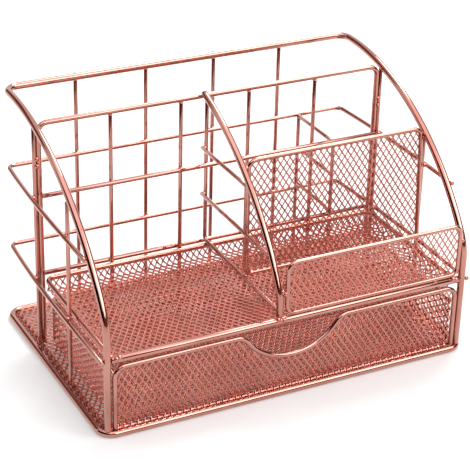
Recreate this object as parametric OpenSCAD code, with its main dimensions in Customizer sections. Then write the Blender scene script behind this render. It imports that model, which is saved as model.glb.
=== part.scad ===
// Pen stand with drawer: a desk organizer of bent, welded wire and sheets of expanded metal mesh.
// X is the width, the drawer opens towards -Y, Z is up and the stand rests on Z = 0.
// Depths in this file are measured from the front edge of the base, and heights from the desk.

/* [Stand] */
// Outer width of the base ring
base_w = 220; // [214:1:230]
// Outer depth of the base ring
base_d = 143.6; // [141:0.2:147]
// Height of the top of the back rail
stand_h = 141; // [139:0.5:143]

/* [Wires] */
// Diameter of the base ring, the hoop and the front rail
thick_wire = 4; // [3.6:0.1:4]
// Diameter of the arc at the edge of the divider
centre_wire = 3.8; // [3.2:0.1:3.8]
// Diameter of the guard rings
guard_wire = 2.5; // [2.3:0.1:2.7]
// Diameter of the middle frame
frame_wire = 2.9; // [2.5:0.1:2.9]
// Diameter of rails, panel frames and the edge wire of the base
rail_wire = 2.6; // [2.2:0.1:2.6]
// Diameter of uprights, posts and rods
post_wire = 2.3; // [2:0.1:2.4]
// How deep two wires bite into each other at a weld
weld = 0.1; // [0.04:0.02:0.12]
// Gap between pieces that lie side by side
gap = 0.05; // [0.04:0.01:0.1]

/* [Mesh sheets] */
// Thickness of the mesh sheets
sheet = 0.8; // [0.5:0.1:0.8]
// Width of the strands between the diamonds
strand = 1.6; // [1.2:0.1:2]

/* [Arcs] */
// Radius of the bend at the front of the hoop
hoop_bend = 24.5; // [20:0.5:28]
// Radius of the long arc at each side
hoop_arc = 149.5; // [146:0.5:152]
// Depth of the highest point of the side arcs
hoop_top_y = 133.5; // [131:0.5:134]
// Radius of the bend at the front of the centre arc
centre_bend = 15; // [12:0.5:20]
// Radius of the centre arc
centre_arc_r = 158; // [155:0.5:160]
// Depth of the centre arc's centre
centre_arc_y = 144.4; // [143:0.2:146]

/* [Heights] */
// Upper guard ring
upper_ring_z = 92.5; // [88:0.5:96]
// Lower guard ring
lower_ring_z = 44.4; // [44:0.2:46]
// Front rail over the drawer
front_rail_z = 44.8; // [44.6:0.2:46]
// Top of the middle frame
mid_top_z = 134.5; // [132:0.5:135]
// Middle rail of the middle frame
mid_rail_z = 94; // [90:0.5:96]
// Rim of the tray
tray_rim_z = 44.3; // [44:0.1:44.6]
// Upper side of the tray's floor
tray_floor_z = 38.4; // [37:0.2:39]
// Top of the pen panel
pen_top_z = 116.5; // [114:0.5:118]
// Top of the bin panel
bin_top_z = 77.6; // [70:0.5:80]
// Upper and lower rung of the divider
rung_z = [103.5, 75.5];
// Rods of the partition in the file slot
partition_z = [92.4, 72, 49];

/* [Depths] */
// Drawer front
drawer_y = 3; // [2.6:0.1:3.2]
// Hoop legs, front rail and bin panel
leg_y = 3.6; // [3.4:0.1:3.8]
// Pen panel
pen_y = 49; // [46:0.5:51]
// Front side posts
front_post_y = 51.5; // [51.5:0.2:54]
// Middle frame
mid_y = 99.4; // [98.8:0.2:101]

/* [Widths] */
// Half the distance between the arcs
arc_x = 104.9; // [104.7:0.1:105]
// Half the distance between the side walls of the tray
tray_x = 101.5; // [101:0.1:101.6]
// Side of the divider
divider_x = -5; // [-20:0.2:10]
// Place of the partition in the file slot
partition_x = 76; // [70:1:90]
// Spacing of the back uprights
back_pitch = 42.15; // [38:0.05:44]
// Spacing of the middle uprights
mid_pitch = 41.2; // [38:0.1:43]

/* [Drawer] */
// Half the width of the drawer's front frame, to the middle of its wire
drawer_front_x = 101.1; // [100:0.1:101.2]
// Half the width of the drawer's box
drawer_x = 99; // [96:0.5:99]
// Depth of the drawer's back wall
drawer_back_y = 96; // [90:0.5:96.2]
// Diameter of the drawer's front frame
drawer_wire = 2.8; // [2.4:0.1:2.8]
// Foot and upper wire of the front frame
drawer_front_z = [4.5, 40.3];
// Rim of the drawer's box
drawer_rim_z = 32; // [28:0.5:33]
// Upper side of the drawer's floor
drawer_floor_z = 5.3; // [5.2:0.1:5.6]
// Radius of the finger dip
dip_r = 32.8; // [30:0.2:36]
// Height of the lowest point of the dip
dip_z = 23.3; // [22:0.1:26]
// Radius of the shoulders of the finger dip
dip_shoulder = 8; // [5:0.5:9]

/* [Hidden] */
$fn = 48;
$fa = 3;
$fs = 0.4;

// Colours of the plated wire and of the mesh
wire_colour = "#C98371";
mesh_colour = "#B9705F";

// Radii of the wires
thick_r = thick_wire / 2;
centre_r = centre_wire / 2;
guard_r = guard_wire / 2;
frame_r = frame_wire / 2;
rail_r = rail_wire / 2;
post_r = post_wire / 2;
drawer_r = drawer_wire / 2;
hem_r = 1.5;

// Whole thousandths, so that pieces of a wire that meet share one number
function neat(value) = round(value * 1000) / 1000;

// Angle that takes half of a hairline off an arc's end where it meets another arc
hair = 0.012;
function trim(radius) = hair / 2 / radius * 180 / PI;

// Base: the ring's underside is cut flat, and the mesh lies on the edge wire
ring_z = thick_r - 0.2;
ring_x = base_w / 2 - thick_r;
ring_corner = 8;
back_y = base_d - thick_r;
edge_inset = 4.2;
edge_z = 2;
edge_corner = ring_corner - edge_inset;
mesh_top = edge_z + rail_r + gap + sheet;
mesh_lip = 1.3;
mesh_cut = 2;
foot_z = mesh_top - weld;

// Back plane: the uprights stand behind the rails
upright_y = back_y + thick_r + post_r - weld;
ring_back_y = upright_y - post_r - guard_r + weld;
stand_d = upright_y + post_r;

// Guard rings: their sides bow inwards behind guard_bow_y
guard_x = arc_x + thick_r + guard_r - weld;
guard_end = 1.3;
guard_bow_y = 60;
guard_bow = 1000;
guard_corner = 4.5;
guard_corner_y = ring_back_y - guard_corner;
guard_turn = asin((guard_corner_y - guard_bow_y) / (guard_bow - guard_corner));
guard_corner_x = neat(guard_x - guard_bow + (guard_bow - guard_corner) * cos(guard_turn));
function guard_side(y) =
    guard_x - guard_bow + sqrt(pow(guard_bow, 2) - pow(max(y - guard_bow_y, 0), 2));

// Hoop: vertical leg, front bend, long arc, flat top and a corner into the back rail
hoop_top_z = stand_h - thick_r;
hoop_corner = 7;
hoop_mid_z = hoop_top_z - hoop_arc;
hoop_angle = acos((hoop_top_y - leg_y - hoop_bend) / (hoop_arc - hoop_bend));
foot_of_hoop = ring_z + thick_r - weld;
hoop_bend_z = neat(hoop_mid_z + (hoop_arc - hoop_bend) * sin(hoop_angle));

// Side posts stand against the guard rings and under the arcs
function post_x(y) = guard_side(y) - guard_r - post_r + weld;
function arc_z(y) = hoop_mid_z + sqrt(pow(hoop_arc, 2) - pow(hoop_top_y - y, 2));
function under_arc(y) = arc_z(y) - thick_r * hoop_arc / (arc_z(y) - hoop_mid_z);

rear_bite = 0.05;
front_bite = -0.35;

// Middle frame: the legs touch the rear posts, the rail is in front of the uprights
mid_x = neat(post_x(mid_y) - post_r - frame_r - gap);
mid_corner = 5;
mid_upright_y = mid_y - 0.3;
mid_rail_y = mid_upright_y - post_r - rail_r + weld;
mid_bottom_y = mid_y + frame_r + rail_r - weld;
mid_bottom_z = 45;

// Tray: a folded sheet that hangs on a hemmed rim
tray_back_y = mid_upright_y - post_r - hem_r + weld;
tray_corner = 5;
tray_front_y = leg_y + thick_r + rail_r - weld;
tray_front_z = tray_rim_z - hem_r - rail_r + weld;
tray_wall_top = tray_rim_z - hem_r - gap;
tray_wall_h = tray_wall_top - tray_floor_z - gap;

// Divider
divider_bend = 3;
divider_z = tray_rim_z + hem_r + post_r - weld;
rung_x = divider_x - 2 * post_r + 2 * weld;
pen_left_x = rung_x + post_r + rail_r - weld;
centre_x = pen_left_x - rail_r - centre_r + 2 * weld;
centre_leg_y = leg_y + 0.6;
centre_foot_z = front_rail_z + thick_r - weld / 2;
centre_mid_z = 116.5 - sqrt(pow(centre_arc_r, 2) - pow(centre_arc_y - 55, 2));
centre_angle = acos((centre_arc_y - centre_leg_y - centre_bend) / (centre_arc_r - centre_bend));
centre_bend_z = neat(centre_mid_z + (centre_arc_r - centre_bend) * sin(centre_angle));
centre_end_y = 97.4;
centre_end_angle = acos((centre_arc_y - centre_end_y) / centre_arc_r);
function centre_y(z) = centre_arc_y - sqrt(pow(centre_arc_r, 2) - pow(z - centre_mid_z, 2));

// Pen panel: its right leg passes inside the arc and slants past the tray's rim to the base
pen_corner = 5;
pen_foot_corner = 3.5;
pen_right_x = arc_x - thick_r - rail_r + weld;
pen_bottom_z = 49.4;
pen_slant = 2.33;
pen_bend_x = pen_right_x - pen_corner;
pen_leg_x = neat(pen_bend_x + pen_corner * cos(pen_slant));
pen_leg_z = neat(pen_top_z - pen_corner + pen_corner * sin(pen_slant));
function pen_right(z) = pen_leg_x + (pen_leg_z - z) * tan(pen_slant);

// Partition
partition_back_y = ring_back_y - guard_r - post_r + weld;

// Bin panel, on the front rail between the divider and the right leg
bin_r = 1.2;
bin_corner = 5;
bin_left_x = centre_x + centre_r + bin_r + 0.9;
bin_right_x = arc_x - thick_r - bin_r - gap;
bin_bottom_z = front_rail_z + thick_r + bin_r + gap;

// Drawer
drawer_corner = 6;
drawer_rim_r = 1.2;
dip_mid_z = dip_z + dip_r;
shoulder_z = drawer_front_z[1] - dip_shoulder;
dip_angle = asin((dip_mid_z - shoulder_z) / (dip_r + dip_shoulder));
dip_x = neat((dip_r + dip_shoulder) * cos(dip_angle));
drawer_wall_top = drawer_rim_z - drawer_rim_r - gap;
drawer_wall_h = drawer_wall_top - drawer_floor_z - gap;
drawer_front_back = drawer_y + sheet / 2 + gap;

// Width of the mesh field at each side of the dip
side_field = 66;

// Moves a piece so that Y = 0 is the front edge of the base
module from_front() {
    translate([0, -stand_d / 2, 0]) children();
}

// Straight wires along the axes
module wire_x(from, to, y, z, r) {
    translate([from, y, z]) rotate([0, 90, 0]) cylinder(h = to - from, r = r);
}

module wire_y(x, from, to, z, r) {
    translate([x, to, z]) rotate([90, 0, 0]) cylinder(h = to - from, r = r);
}

module wire_z(x, y, from, to, r) {
    translate([x, y, from]) cylinder(h = to - from, r = r);
}

// Part of a ring of wire about Z
module bend(radius, r, start, angle) {
    rotate_extrude(angle = angle, start = start) translate([radius, 0]) circle(r = r);
}

// Upside-down U in the XY plane, with its open side towards -Y and feet at different depths
module bent_u(left, right, left_foot, right_foot, top, corner, r) {
    wire_y(left, left_foot, top - corner, 0, r);
    wire_y(right, right_foot, top - corner, 0, r);
    wire_x(left + corner, right - corner, top, 0, r);
    translate([left + corner, top - corner]) bend(corner, r, 90, 90);
    translate([right - corner, top - corner]) bend(corner, r, 0, 90);
}

// Closed loop with round corners in the XY plane
module bent_loop(left, right, low, high, corner, r) {
    bent_u(left, right, low + corner, low + corner, high, corner, r);
    wire_x(left + corner, right - corner, low, 0, r);
    translate([left + corner, low + corner]) bend(corner, r, 180, 90);
    translate([right - corner, low + corner]) bend(corner, r, 270, 90);
}

// Stands a shape of the XY plane upright at depth y, with its Y axis up
module upright(y) {
    translate([0, y, 0]) rotate([90, 0, 0]) children();
}

// Stands a shape of the XY plane up along the depth at x, with its X axis to the back
module sideways(x) {
    translate([x, 0, 0]) rotate([90, 0, 90]) children();
}

// One diamond opening
module diamond(w, h) {
    polygon([[-w / 2, 0], [0, -h / 2], [w / 2, 0], [0, h / 2]]);
}

// Staggered diamonds over a w by h area
module diamonds(w, h, columns, rows) {
    cell_w = w / columns;
    cell_h = h / rows;
    for (row = [0.5 : 0.5 : rows - 0.5])
        for (column = [(row % 1 == 0 ? 1 : 0.5) : columns - 0.5])
            translate([column * cell_w, row * cell_h])
                diamond(cell_w - strand, cell_h - strand);
}

// Flat mesh sheet from the origin, thick towards both sides of the XY plane
module flat_mesh(w, h, columns, rows) {
    linear_extrude(sheet, center = true)
        difference() {
            square([w, h]);
            diamonds(w, h, columns, rows);
        }
}

// ---- Base ----

module base_ring() {
    color(wire_colour) from_front()
        difference() {
            translate([0, 0, ring_z]) bent_loop(-ring_x, ring_x, thick_r, back_y, ring_corner, thick_r);
            translate([-base_w / 2 - 1, -1, -1]) cube([base_w + 2, base_d + 2, 1]);
        }
}

module base_edge_wire() {
    x = ring_x - edge_inset;
    color(wire_colour) from_front() translate([0, 0, edge_z])
        bent_loop(-x, x, thick_r + edge_inset, back_y - edge_inset, edge_corner, rail_r);
}

module base_mesh() {
    x = ring_x - edge_inset + mesh_lip;
    w = 2 * x;
    front = thick_r + edge_inset - mesh_lip;
    d = back_y - edge_inset + mesh_lip - front;
    color(mesh_colour) from_front() translate([-x, front, mesh_top - sheet / 2])
        linear_extrude(sheet, center = true)
            difference() {
                polygon([[mesh_cut, 0], [w - mesh_cut, 0], [w, mesh_cut], [w, d - mesh_cut],
                        [w - mesh_cut, d], [mesh_cut, d], [0, d - mesh_cut], [0, mesh_cut]]);
                diamonds(w, d, 9, 6);
            }
}

// ---- Hoop, guard rings and front rail ----

// One side of the hoop in a plane whose X runs to the back
module hoop_side() {
    sideways(0) {
        translate([leg_y, foot_of_hoop]) rotate([-90, 0, 0])
            cylinder(h = hoop_bend_z - foot_of_hoop, r = thick_r);
        translate([leg_y + hoop_bend, hoop_bend_z])
            bend(hoop_bend, thick_r, 180 - hoop_angle, hoop_angle);
        translate([hoop_top_y, hoop_mid_z])
            bend(hoop_arc, thick_r, 90, 90 - hoop_angle);
    }
}

module outer_hoop() {
    color(wire_colour) from_front() {
        for (side = [-1, 1]) translate([side * arc_x, 0, 0]) hoop_side();
        translate([0, 0, hoop_top_z])
            bent_u(-arc_x, arc_x, hoop_top_y, hoop_top_y, back_y, hoop_corner, thick_r);
    }
}

// A guard ring is a U that is open to the front and a little narrower at the back
module guard_ring(front, z) {
    color(wire_colour) from_front() translate([0, 0, z]) {
        for (side = [-1, 1]) {
            wire_y(side * guard_x, front, guard_bow_y, 0, guard_r);
            translate([side * (guard_x - guard_bow), guard_bow_y])
                bend(guard_bow, guard_r, side < 0 ? 180 - guard_turn + trim(guard_bow) : 0,
                    guard_turn - trim(guard_bow));
            translate([side * guard_corner_x, guard_corner_y])
                bend(guard_corner, guard_r, side < 0 ? 90 : guard_turn + trim(guard_corner),
                    90 - guard_turn - trim(guard_corner));
        }
        wire_x(-guard_corner_x, guard_corner_x, ring_back_y, 0, guard_r);
    }
}

module upper_guard_ring() {
    arc_at_ring = hoop_top_y - sqrt(pow(hoop_arc, 2) - pow(upper_ring_z - hoop_mid_z, 2));
    guard_ring(arc_at_ring - guard_end, upper_ring_z);
}

module lower_guard_ring() {
    guard_ring(leg_y - guard_end, lower_ring_z);
}

module front_rail() {
    x = arc_x - thick_r + weld;
    color(wire_colour) from_front() wire_x(-x, x, leg_y, front_rail_z, thick_r);
}

// ---- Back uprights ----

module back_upright(number) {
    color(wire_colour) from_front()
        wire_z((number - 2.5) * back_pitch, upright_y, 0.6, hoop_top_z + 1, post_r);
}

// ---- Middle frame ----

module mid_frame() {
    color(wire_colour) from_front() upright(mid_y)
        bent_u(-mid_x, mid_x, foot_z, foot_z, mid_top_z, mid_corner, frame_r);
}

module mid_rail() {
    color(wire_colour) from_front() wire_x(-mid_x, mid_x, mid_rail_y, mid_rail_z, rail_r);
}

module mid_bottom_rail() {
    color(wire_colour) from_front() wire_x(-mid_x, mid_x, mid_bottom_y, mid_bottom_z, rail_r);
}

module mid_upright(number) {
    top = mid_top_z - frame_r + weld;
    color(wire_colour) from_front()
        wire_z((number - 2.5) * mid_pitch, mid_upright_y, foot_z, top, post_r);
}

// ---- Side posts ----

module side_post(side, y, bite) {
    color(wire_colour) from_front()
        wire_z(side * post_x(y), y, foot_z, under_arc(y) + bite, post_r);
}

// ---- Tray ----

module tray_rim() {
    color(mesh_colour) from_front() translate([0, 0, tray_rim_z])
        bent_u(-tray_x, tray_x, leg_y + thick_r - weld, leg_y + thick_r - weld,
            tray_back_y, tray_corner, hem_r);
}

module tray_front_wire() {
    x = arc_x - thick_r + 1;
    color(wire_colour) from_front() wire_x(-x, x, tray_front_y, tray_front_z, rail_r);
}

module tray_floor() {
    x = tray_x + sheet / 2;
    depth = tray_back_y + sheet / 2 - tray_front_y;
    color(mesh_colour) from_front()
        translate([-x, tray_front_y, tray_floor_z - sheet / 2]) flat_mesh(2 * x, depth, 9, 5);
}

module tray_back_wall() {
    x = tray_x - tray_corner;
    color(mesh_colour) from_front() upright(tray_back_y)
        translate([-x, tray_floor_z + gap]) flat_mesh(2 * x, tray_wall_h, 12, 1);
}

module tray_side_wall(side) {
    depth = tray_back_y - tray_corner - tray_front_y - 2;
    color(mesh_colour) from_front() sideways(side * tray_x)
        translate([tray_front_y + 2, tray_floor_z + gap]) flat_mesh(depth, tray_wall_h, 6, 1);
}

// ---- Divider ----

module centre_arc() {
    color(wire_colour) from_front() sideways(centre_x) {
        translate([centre_leg_y, centre_foot_z]) rotate([-90, 0, 0])
            cylinder(h = centre_bend_z - centre_foot_z, r = centre_r);
        translate([centre_leg_y + centre_bend, centre_bend_z])
            bend(centre_bend, centre_r, 180 - centre_angle + trim(centre_bend),
                centre_angle - trim(centre_bend));
        translate([centre_arc_y, centre_mid_z])
            bend(centre_arc_r, centre_r, 180 - centre_end_angle,
                centre_end_angle - centre_angle - trim(centre_arc_r));
    }
}

module centre_divider_wire() {
    corner = divider_bend;
    post_top = mid_top_z - frame_r + weld;
    front = centre_leg_y + centre_r - weld;
    color(wire_colour) from_front() {
        wire_z(divider_x, mid_upright_y, divider_z + corner, post_top, post_r);
        wire_y(divider_x, front, mid_upright_y - corner, divider_z, post_r);
        sideways(divider_x) translate([mid_upright_y - corner, divider_z + corner])
            bend(corner, post_r, 270, 90);
    }
}

module divider_rung(front, z) {
    color(wire_colour) from_front() wire_y(rung_x, front, mid_upright_y + post_r, z, post_r);
}

// ---- Pen panel ----

module pen_frame() {
    foot = pen_bottom_z + pen_foot_corner;
    color(wire_colour) from_front() upright(pen_y) {
        translate([pen_left_x + pen_foot_corner, foot])
            bend(pen_foot_corner, rail_r, 180, 90);
        wire_y(pen_left_x, foot, pen_top_z - pen_corner, 0, rail_r);
        translate([pen_left_x + pen_corner, pen_top_z - pen_corner])
            bend(pen_corner, rail_r, 90, 90);
        wire_x(pen_left_x + pen_corner, pen_bend_x, pen_top_z, 0, rail_r);
        translate([pen_bend_x, pen_top_z - pen_corner])
            bend(pen_corner, rail_r, pen_slant, 90 - pen_slant);
        translate([pen_leg_x, pen_leg_z]) rotate([90, 0, pen_slant])
            cylinder(h = (pen_leg_z - foot_z) / cos(pen_slant), r = rail_r);
    }
}

module pen_bottom_wire() {
    color(wire_colour) from_front()
        wire_x(pen_left_x + pen_foot_corner, pen_right(pen_bottom_z) - rail_r + weld,
            pen_y, pen_bottom_z, rail_r);
}

// Mesh sheet with cut corners, which fills a frame whose wire is r thick and whose
// right side stands further out by flare at the bottom
module framed_mesh(left, right, low, high, r, cut, columns, rows, flare = 0) {
    w = right - left - 2 * (r + gap);
    h = high - low - 2 * (r + gap);
    translate([left + r + gap, low + r + gap])
        linear_extrude(sheet, center = true)
            difference() {
                polygon([[cut, 0], [w + flare - cut, 0],
                        [w + flare * (1 - cut / h), cut], [w + flare * cut / h, h - cut],
                        [w - cut, h], [cut, h], [0, h - cut], [0, cut]]);
                diamonds(w, h, columns, rows);
            }
}

module pen_mesh() {
    flare = pen_right(pen_bottom_z) - pen_right(pen_top_z) - gap;
    color(mesh_colour) from_front() upright(pen_y)
        framed_mesh(pen_left_x, pen_right(pen_top_z) - gap, pen_bottom_z, pen_top_z, rail_r, 2.4,
            8, 5, flare);
}

// ---- Partition in the file slot ----

module partition_post(y) {
    color(wire_colour) from_front()
        wire_z(partition_x, y, foot_z, upper_ring_z + 1, post_r);
}

module partition_rod(number) {
    front = mid_upright_y + post_r - weld;
    back = partition_back_y - post_r + weld;
    color(wire_colour) from_front()
        wire_y(partition_x, front, back, partition_z[number], post_r);
}

// ---- Bin panel ----

module bin_frame() {
    color(wire_colour) from_front() upright(leg_y)
        bent_loop(bin_left_x, bin_right_x, bin_bottom_z, bin_top_z, bin_corner, bin_r);
}

module bin_mesh() {
    color(mesh_colour) from_front() upright(leg_y)
        framed_mesh(bin_left_x, bin_right_x, bin_bottom_z, bin_top_z, bin_r, 2.4, 8, 2);
}

// ---- Drawer ----

module drawer_front_frame() {
    low = drawer_front_z[0];
    high = drawer_front_z[1];
    x = drawer_front_x;
    corner = drawer_corner;
    color(wire_colour) from_front() upright(drawer_y) {
        for (side = [-1, 1]) {
            wire_y(side * x, low, high - corner, 0, drawer_r);
            translate([side * (x - corner), high - corner])
                bend(corner, drawer_r, side < 0 ? 90 : 0, 90);
            translate([side * dip_x, shoulder_z])
                bend(dip_shoulder, drawer_r, side < 0 ? dip_angle + trim(dip_shoulder) : 90,
                    90 - dip_angle - trim(dip_shoulder));
        }
        wire_x(-x + corner, -dip_x, high, 0, drawer_r);
        wire_x(dip_x, x - corner, high, 0, drawer_r);
        translate([0, dip_mid_z])
            bend(dip_r, drawer_r, 180 + dip_angle + trim(dip_r), 180 - 2 * (dip_angle + trim(dip_r)));
    }
}

// Outline of the mesh under the dip's wire, from its right shoulder to its left one
function dip_edge(inside) = [
    for (a = [90 : 10 : 180 - dip_angle])
        [dip_x + (dip_shoulder - inside) * cos(a), shoulder_z + (dip_shoulder - inside) * sin(a)],
    for (a = [-dip_angle : -6 : -180 + dip_angle])
        [(dip_r + inside) * cos(a), dip_mid_z + (dip_r + inside) * sin(a)],
    for (a = [dip_angle : 10 : 90])
        [(dip_shoulder - inside) * cos(a) - dip_x, shoulder_z + (dip_shoulder - inside) * sin(a)]
];

module drawer_front_mesh() {
    inside = drawer_r + gap;
    x = drawer_front_x - inside;
    low = drawer_front_z[0];
    high = drawer_front_z[1] - inside;
    cut = 2.6;
    color(mesh_colour) from_front() upright(drawer_y)
        linear_extrude(sheet, center = true)
            difference() {
                polygon(concat([[-x, low], [x, low], [x, high - cut], [x - cut, high]],
                        dip_edge(inside + gap),
                        [[cut - x, high], [-x, high - cut]]));
                for (side = [-1, 1])
                    translate([side > 0 ? x - side_field : -x, low])
                        diamonds(side_field, high - low, 5, 2);
                translate([side_field - x, low])
                    diamonds(2 * (x - side_field), dip_z - inside - low, 4, 1);
            }
}

module drawer_rim_wire() {
    color(wire_colour) from_front() translate([0, 0, drawer_rim_z])
        bent_u(-drawer_x, drawer_x, drawer_y + 0.9, drawer_y + 0.9,
            drawer_back_y, 5, drawer_rim_r);
}

module drawer_floor_mesh() {
    x = drawer_x + sheet / 2;
    depth = drawer_back_y + sheet / 2 - drawer_front_back;
    color(mesh_colour) from_front()
        translate([-x, drawer_front_back, drawer_floor_z - sheet / 2])
            flat_mesh(2 * x, depth, 9, 5);
}

module drawer_side_mesh(side) {
    depth = drawer_back_y - sheet - drawer_front_back;
    color(mesh_colour) from_front() sideways(side * drawer_x)
        translate([drawer_front_back, drawer_floor_z + gap]) flat_mesh(depth, drawer_wall_h, 6, 2);
}

module drawer_back_mesh() {
    x = drawer_x + sheet / 2;
    color(mesh_colour) from_front() upright(drawer_back_y)
        translate([-x, drawer_floor_z + gap]) flat_mesh(2 * x, drawer_wall_h, 11, 2);
}

// ---- Pieces ----

base_ring();
base_edge_wire();
base_mesh();
outer_hoop();
upper_guard_ring();
lower_guard_ring();
front_rail();
for (number = [1:4])
    back_upright(number);
mid_frame();
mid_rail();
mid_bottom_rail();
for (number = [1:4])
    mid_upright(number);
side_post(-1, mid_y, rear_bite);  // rear_side_post_left
side_post(1, mid_y, rear_bite);  // rear_side_post_right
side_post(-1, front_post_y, front_bite);  // front_side_post_left
side_post(1, front_post_y, front_bite);  // front_side_post_right
tray_rim();
tray_front_wire();
tray_floor();
tray_back_wall();
tray_side_wall(-1);  // tray_left_wall
tray_side_wall(1);  // tray_right_wall
centre_arc();
centre_divider_wire();
divider_rung(pen_y - 1, rung_z[0]);  // divider_rung_upper
divider_rung(centre_y(rung_z[1]) + 2.6, rung_z[1]);  // divider_rung_lower
pen_frame();
pen_bottom_wire();
pen_mesh();
partition_post(partition_back_y);  // partition_back_post
partition_post(mid_upright_y);  // partition_mid_post
partition_rod(0);  // partition_rod_top
partition_rod(1);  // partition_rod_middle
partition_rod(2);  // partition_rod_bottom
bin_frame();
bin_mesh();
drawer_front_frame();
drawer_front_mesh();
drawer_rim_wire();
drawer_floor_mesh();
drawer_side_mesh(-1);  // drawer_left_mesh
drawer_side_mesh(1);  // drawer_right_mesh
drawer_back_mesh();
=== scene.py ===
"""Visual model of a pen stand with drawer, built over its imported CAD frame.

Every bent wire is swept again with round bends and domed ends, and every sheet of
expanded metal gets its real strands. The sizes that the finishes and sub-assemblies
hold are millimetres. The studio's are metres, and so are all lengths in the meshes.
"""

import logging
import math
from dataclasses import dataclass, field
from enum import Enum

import bmesh
import bpy
import numpy as np
from bpy.types import ID, Material, Mesh, Node, NodeSocket, NodeTree, Object
from mathutils import Matrix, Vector
from numpy import ndarray


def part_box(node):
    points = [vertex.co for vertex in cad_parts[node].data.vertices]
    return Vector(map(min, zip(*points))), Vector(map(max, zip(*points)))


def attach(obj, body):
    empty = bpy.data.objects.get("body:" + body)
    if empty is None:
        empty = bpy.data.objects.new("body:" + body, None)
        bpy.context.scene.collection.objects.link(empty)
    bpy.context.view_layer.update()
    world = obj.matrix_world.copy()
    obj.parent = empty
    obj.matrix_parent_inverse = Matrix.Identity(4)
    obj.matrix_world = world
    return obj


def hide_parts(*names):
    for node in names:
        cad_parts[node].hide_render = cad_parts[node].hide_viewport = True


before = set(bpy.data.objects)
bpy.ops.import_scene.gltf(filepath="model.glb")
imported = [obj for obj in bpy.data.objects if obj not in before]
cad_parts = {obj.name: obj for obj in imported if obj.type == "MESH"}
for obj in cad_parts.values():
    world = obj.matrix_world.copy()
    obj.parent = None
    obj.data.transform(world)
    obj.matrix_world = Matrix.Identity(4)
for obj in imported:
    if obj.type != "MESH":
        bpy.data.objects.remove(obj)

LOG = logging.getLogger("pen_stand")
MM = 0.001
WHITE = (1.0, 1.0, 1.0, 1.0)
NOISE_RANGE = (0.3, 0.7)  # nearly all values of a noise texture lie between these
BEND_DEGREES = 6.0  # widest step along a round bend
BEND_STEP = math.radians(0.17)  # longest step along a round bend, about 3 mm
FEWEST_STEPS = 4  # steps of a small bend
TIP_INSET = (0.04, 0.14, 0.36)  # rings of a domed end: how far in, in half widths
TIP_WIDTH = (0.68, 0.88, 1.0)  # and how wide, as a share of the wire
CUT_TOLERANCE = 1e-7  # metres

Pair = tuple[float, float]
Triple = tuple[float, float, float]
Geometry = tuple[ndarray, list[ndarray]]
Sweep = tuple[ndarray, ndarray, ndarray]


class Body(Enum):
    """CAD bodies that pieces ride on."""

    FRAME = "frame"
    DRAWER = "drawer"


class Plane(Enum):
    """Planes of bent wires and sheets: first axis, second axis and normal."""

    LEVEL = ((1, 0, 0), (0, 1, 0), (0, 0, 1))
    UPRIGHT = ((1, 0, 0), (0, 0, 1), (0, -1, 0))
    SIDEWAYS = ((0, 1, 0), (0, 0, 1), (1, 0, 0))

    def axes(self) -> ndarray:
        """The three axes as the rows of an array."""
        return np.array(self.value, float)


# ---- Nodes and materials ----


def linear(code: str) -> tuple[float, float, float, float]:
    """Turn a hex sRGB colour into linear RGBA.

    Args:
        code: Colour such as "#C98371".
    Returns:
        Linear red, green, blue and an alpha of one.
    """
    parts = np.array([int(code[i:i + 2], 16) for i in (1, 3, 5)]) / 255
    low, high = parts / 12.92, ((parts + 0.055) / 1.055) ** 2.4
    return (*np.where(parts <= 0.04045, low, high).tolist(), 1.0)


def add_node(tree: NodeTree, kind: str, inputs: dict | None = None,
             **settings: object) -> Node:
    """Add a shader node, set its properties and fill or link its inputs.

    Args:
        tree: Node tree that gets the node.
        kind: Blender's type name of the node, without ShaderNode.
        inputs: Socket name or number to a value, or to an output socket to link.
        settings: Properties of the node.
    Returns:
        The new node.
    """
    node = tree.nodes.new(f"ShaderNode{kind}")
    for name, value in settings.items():
        setattr(node, name, value)
    for name, value in (inputs or {}).items():
        if isinstance(value, NodeSocket):
            tree.links.new(value, node.inputs[name])
        else:
            node.inputs[name].default_value = value
    return node


def add_ramp(tree: NodeTree, factor: NodeSocket,
             stops: list[tuple[float, tuple]]) -> NodeSocket:
    """Add a colour ramp over a factor.

    Args:
        tree: Node tree that gets the ramp.
        factor: Output socket that drives the ramp.
        stops: Position and RGBA colour of each stop.
    Returns:
        The ramp's colour output.
    """
    ramp = add_node(tree, "ValToRGB", {"Fac": factor})
    elements = ramp.color_ramp.elements
    while len(elements) < len(stops):
        elements.new(0.5)
    for element, (position, colour) in zip(elements, stops):
        element.position, element.color = position, colour
    return ramp.outputs["Color"]


def new_material(name: str) -> tuple[Material, NodeTree]:
    """Make a material with an empty node tree.

    Args:
        name: Name of the material.
    Returns:
        The material and its node tree.
    """
    material = bpy.data.materials.new(name)
    material.use_nodes = True
    material.node_tree.nodes.clear()
    return material, material.node_tree


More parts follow.
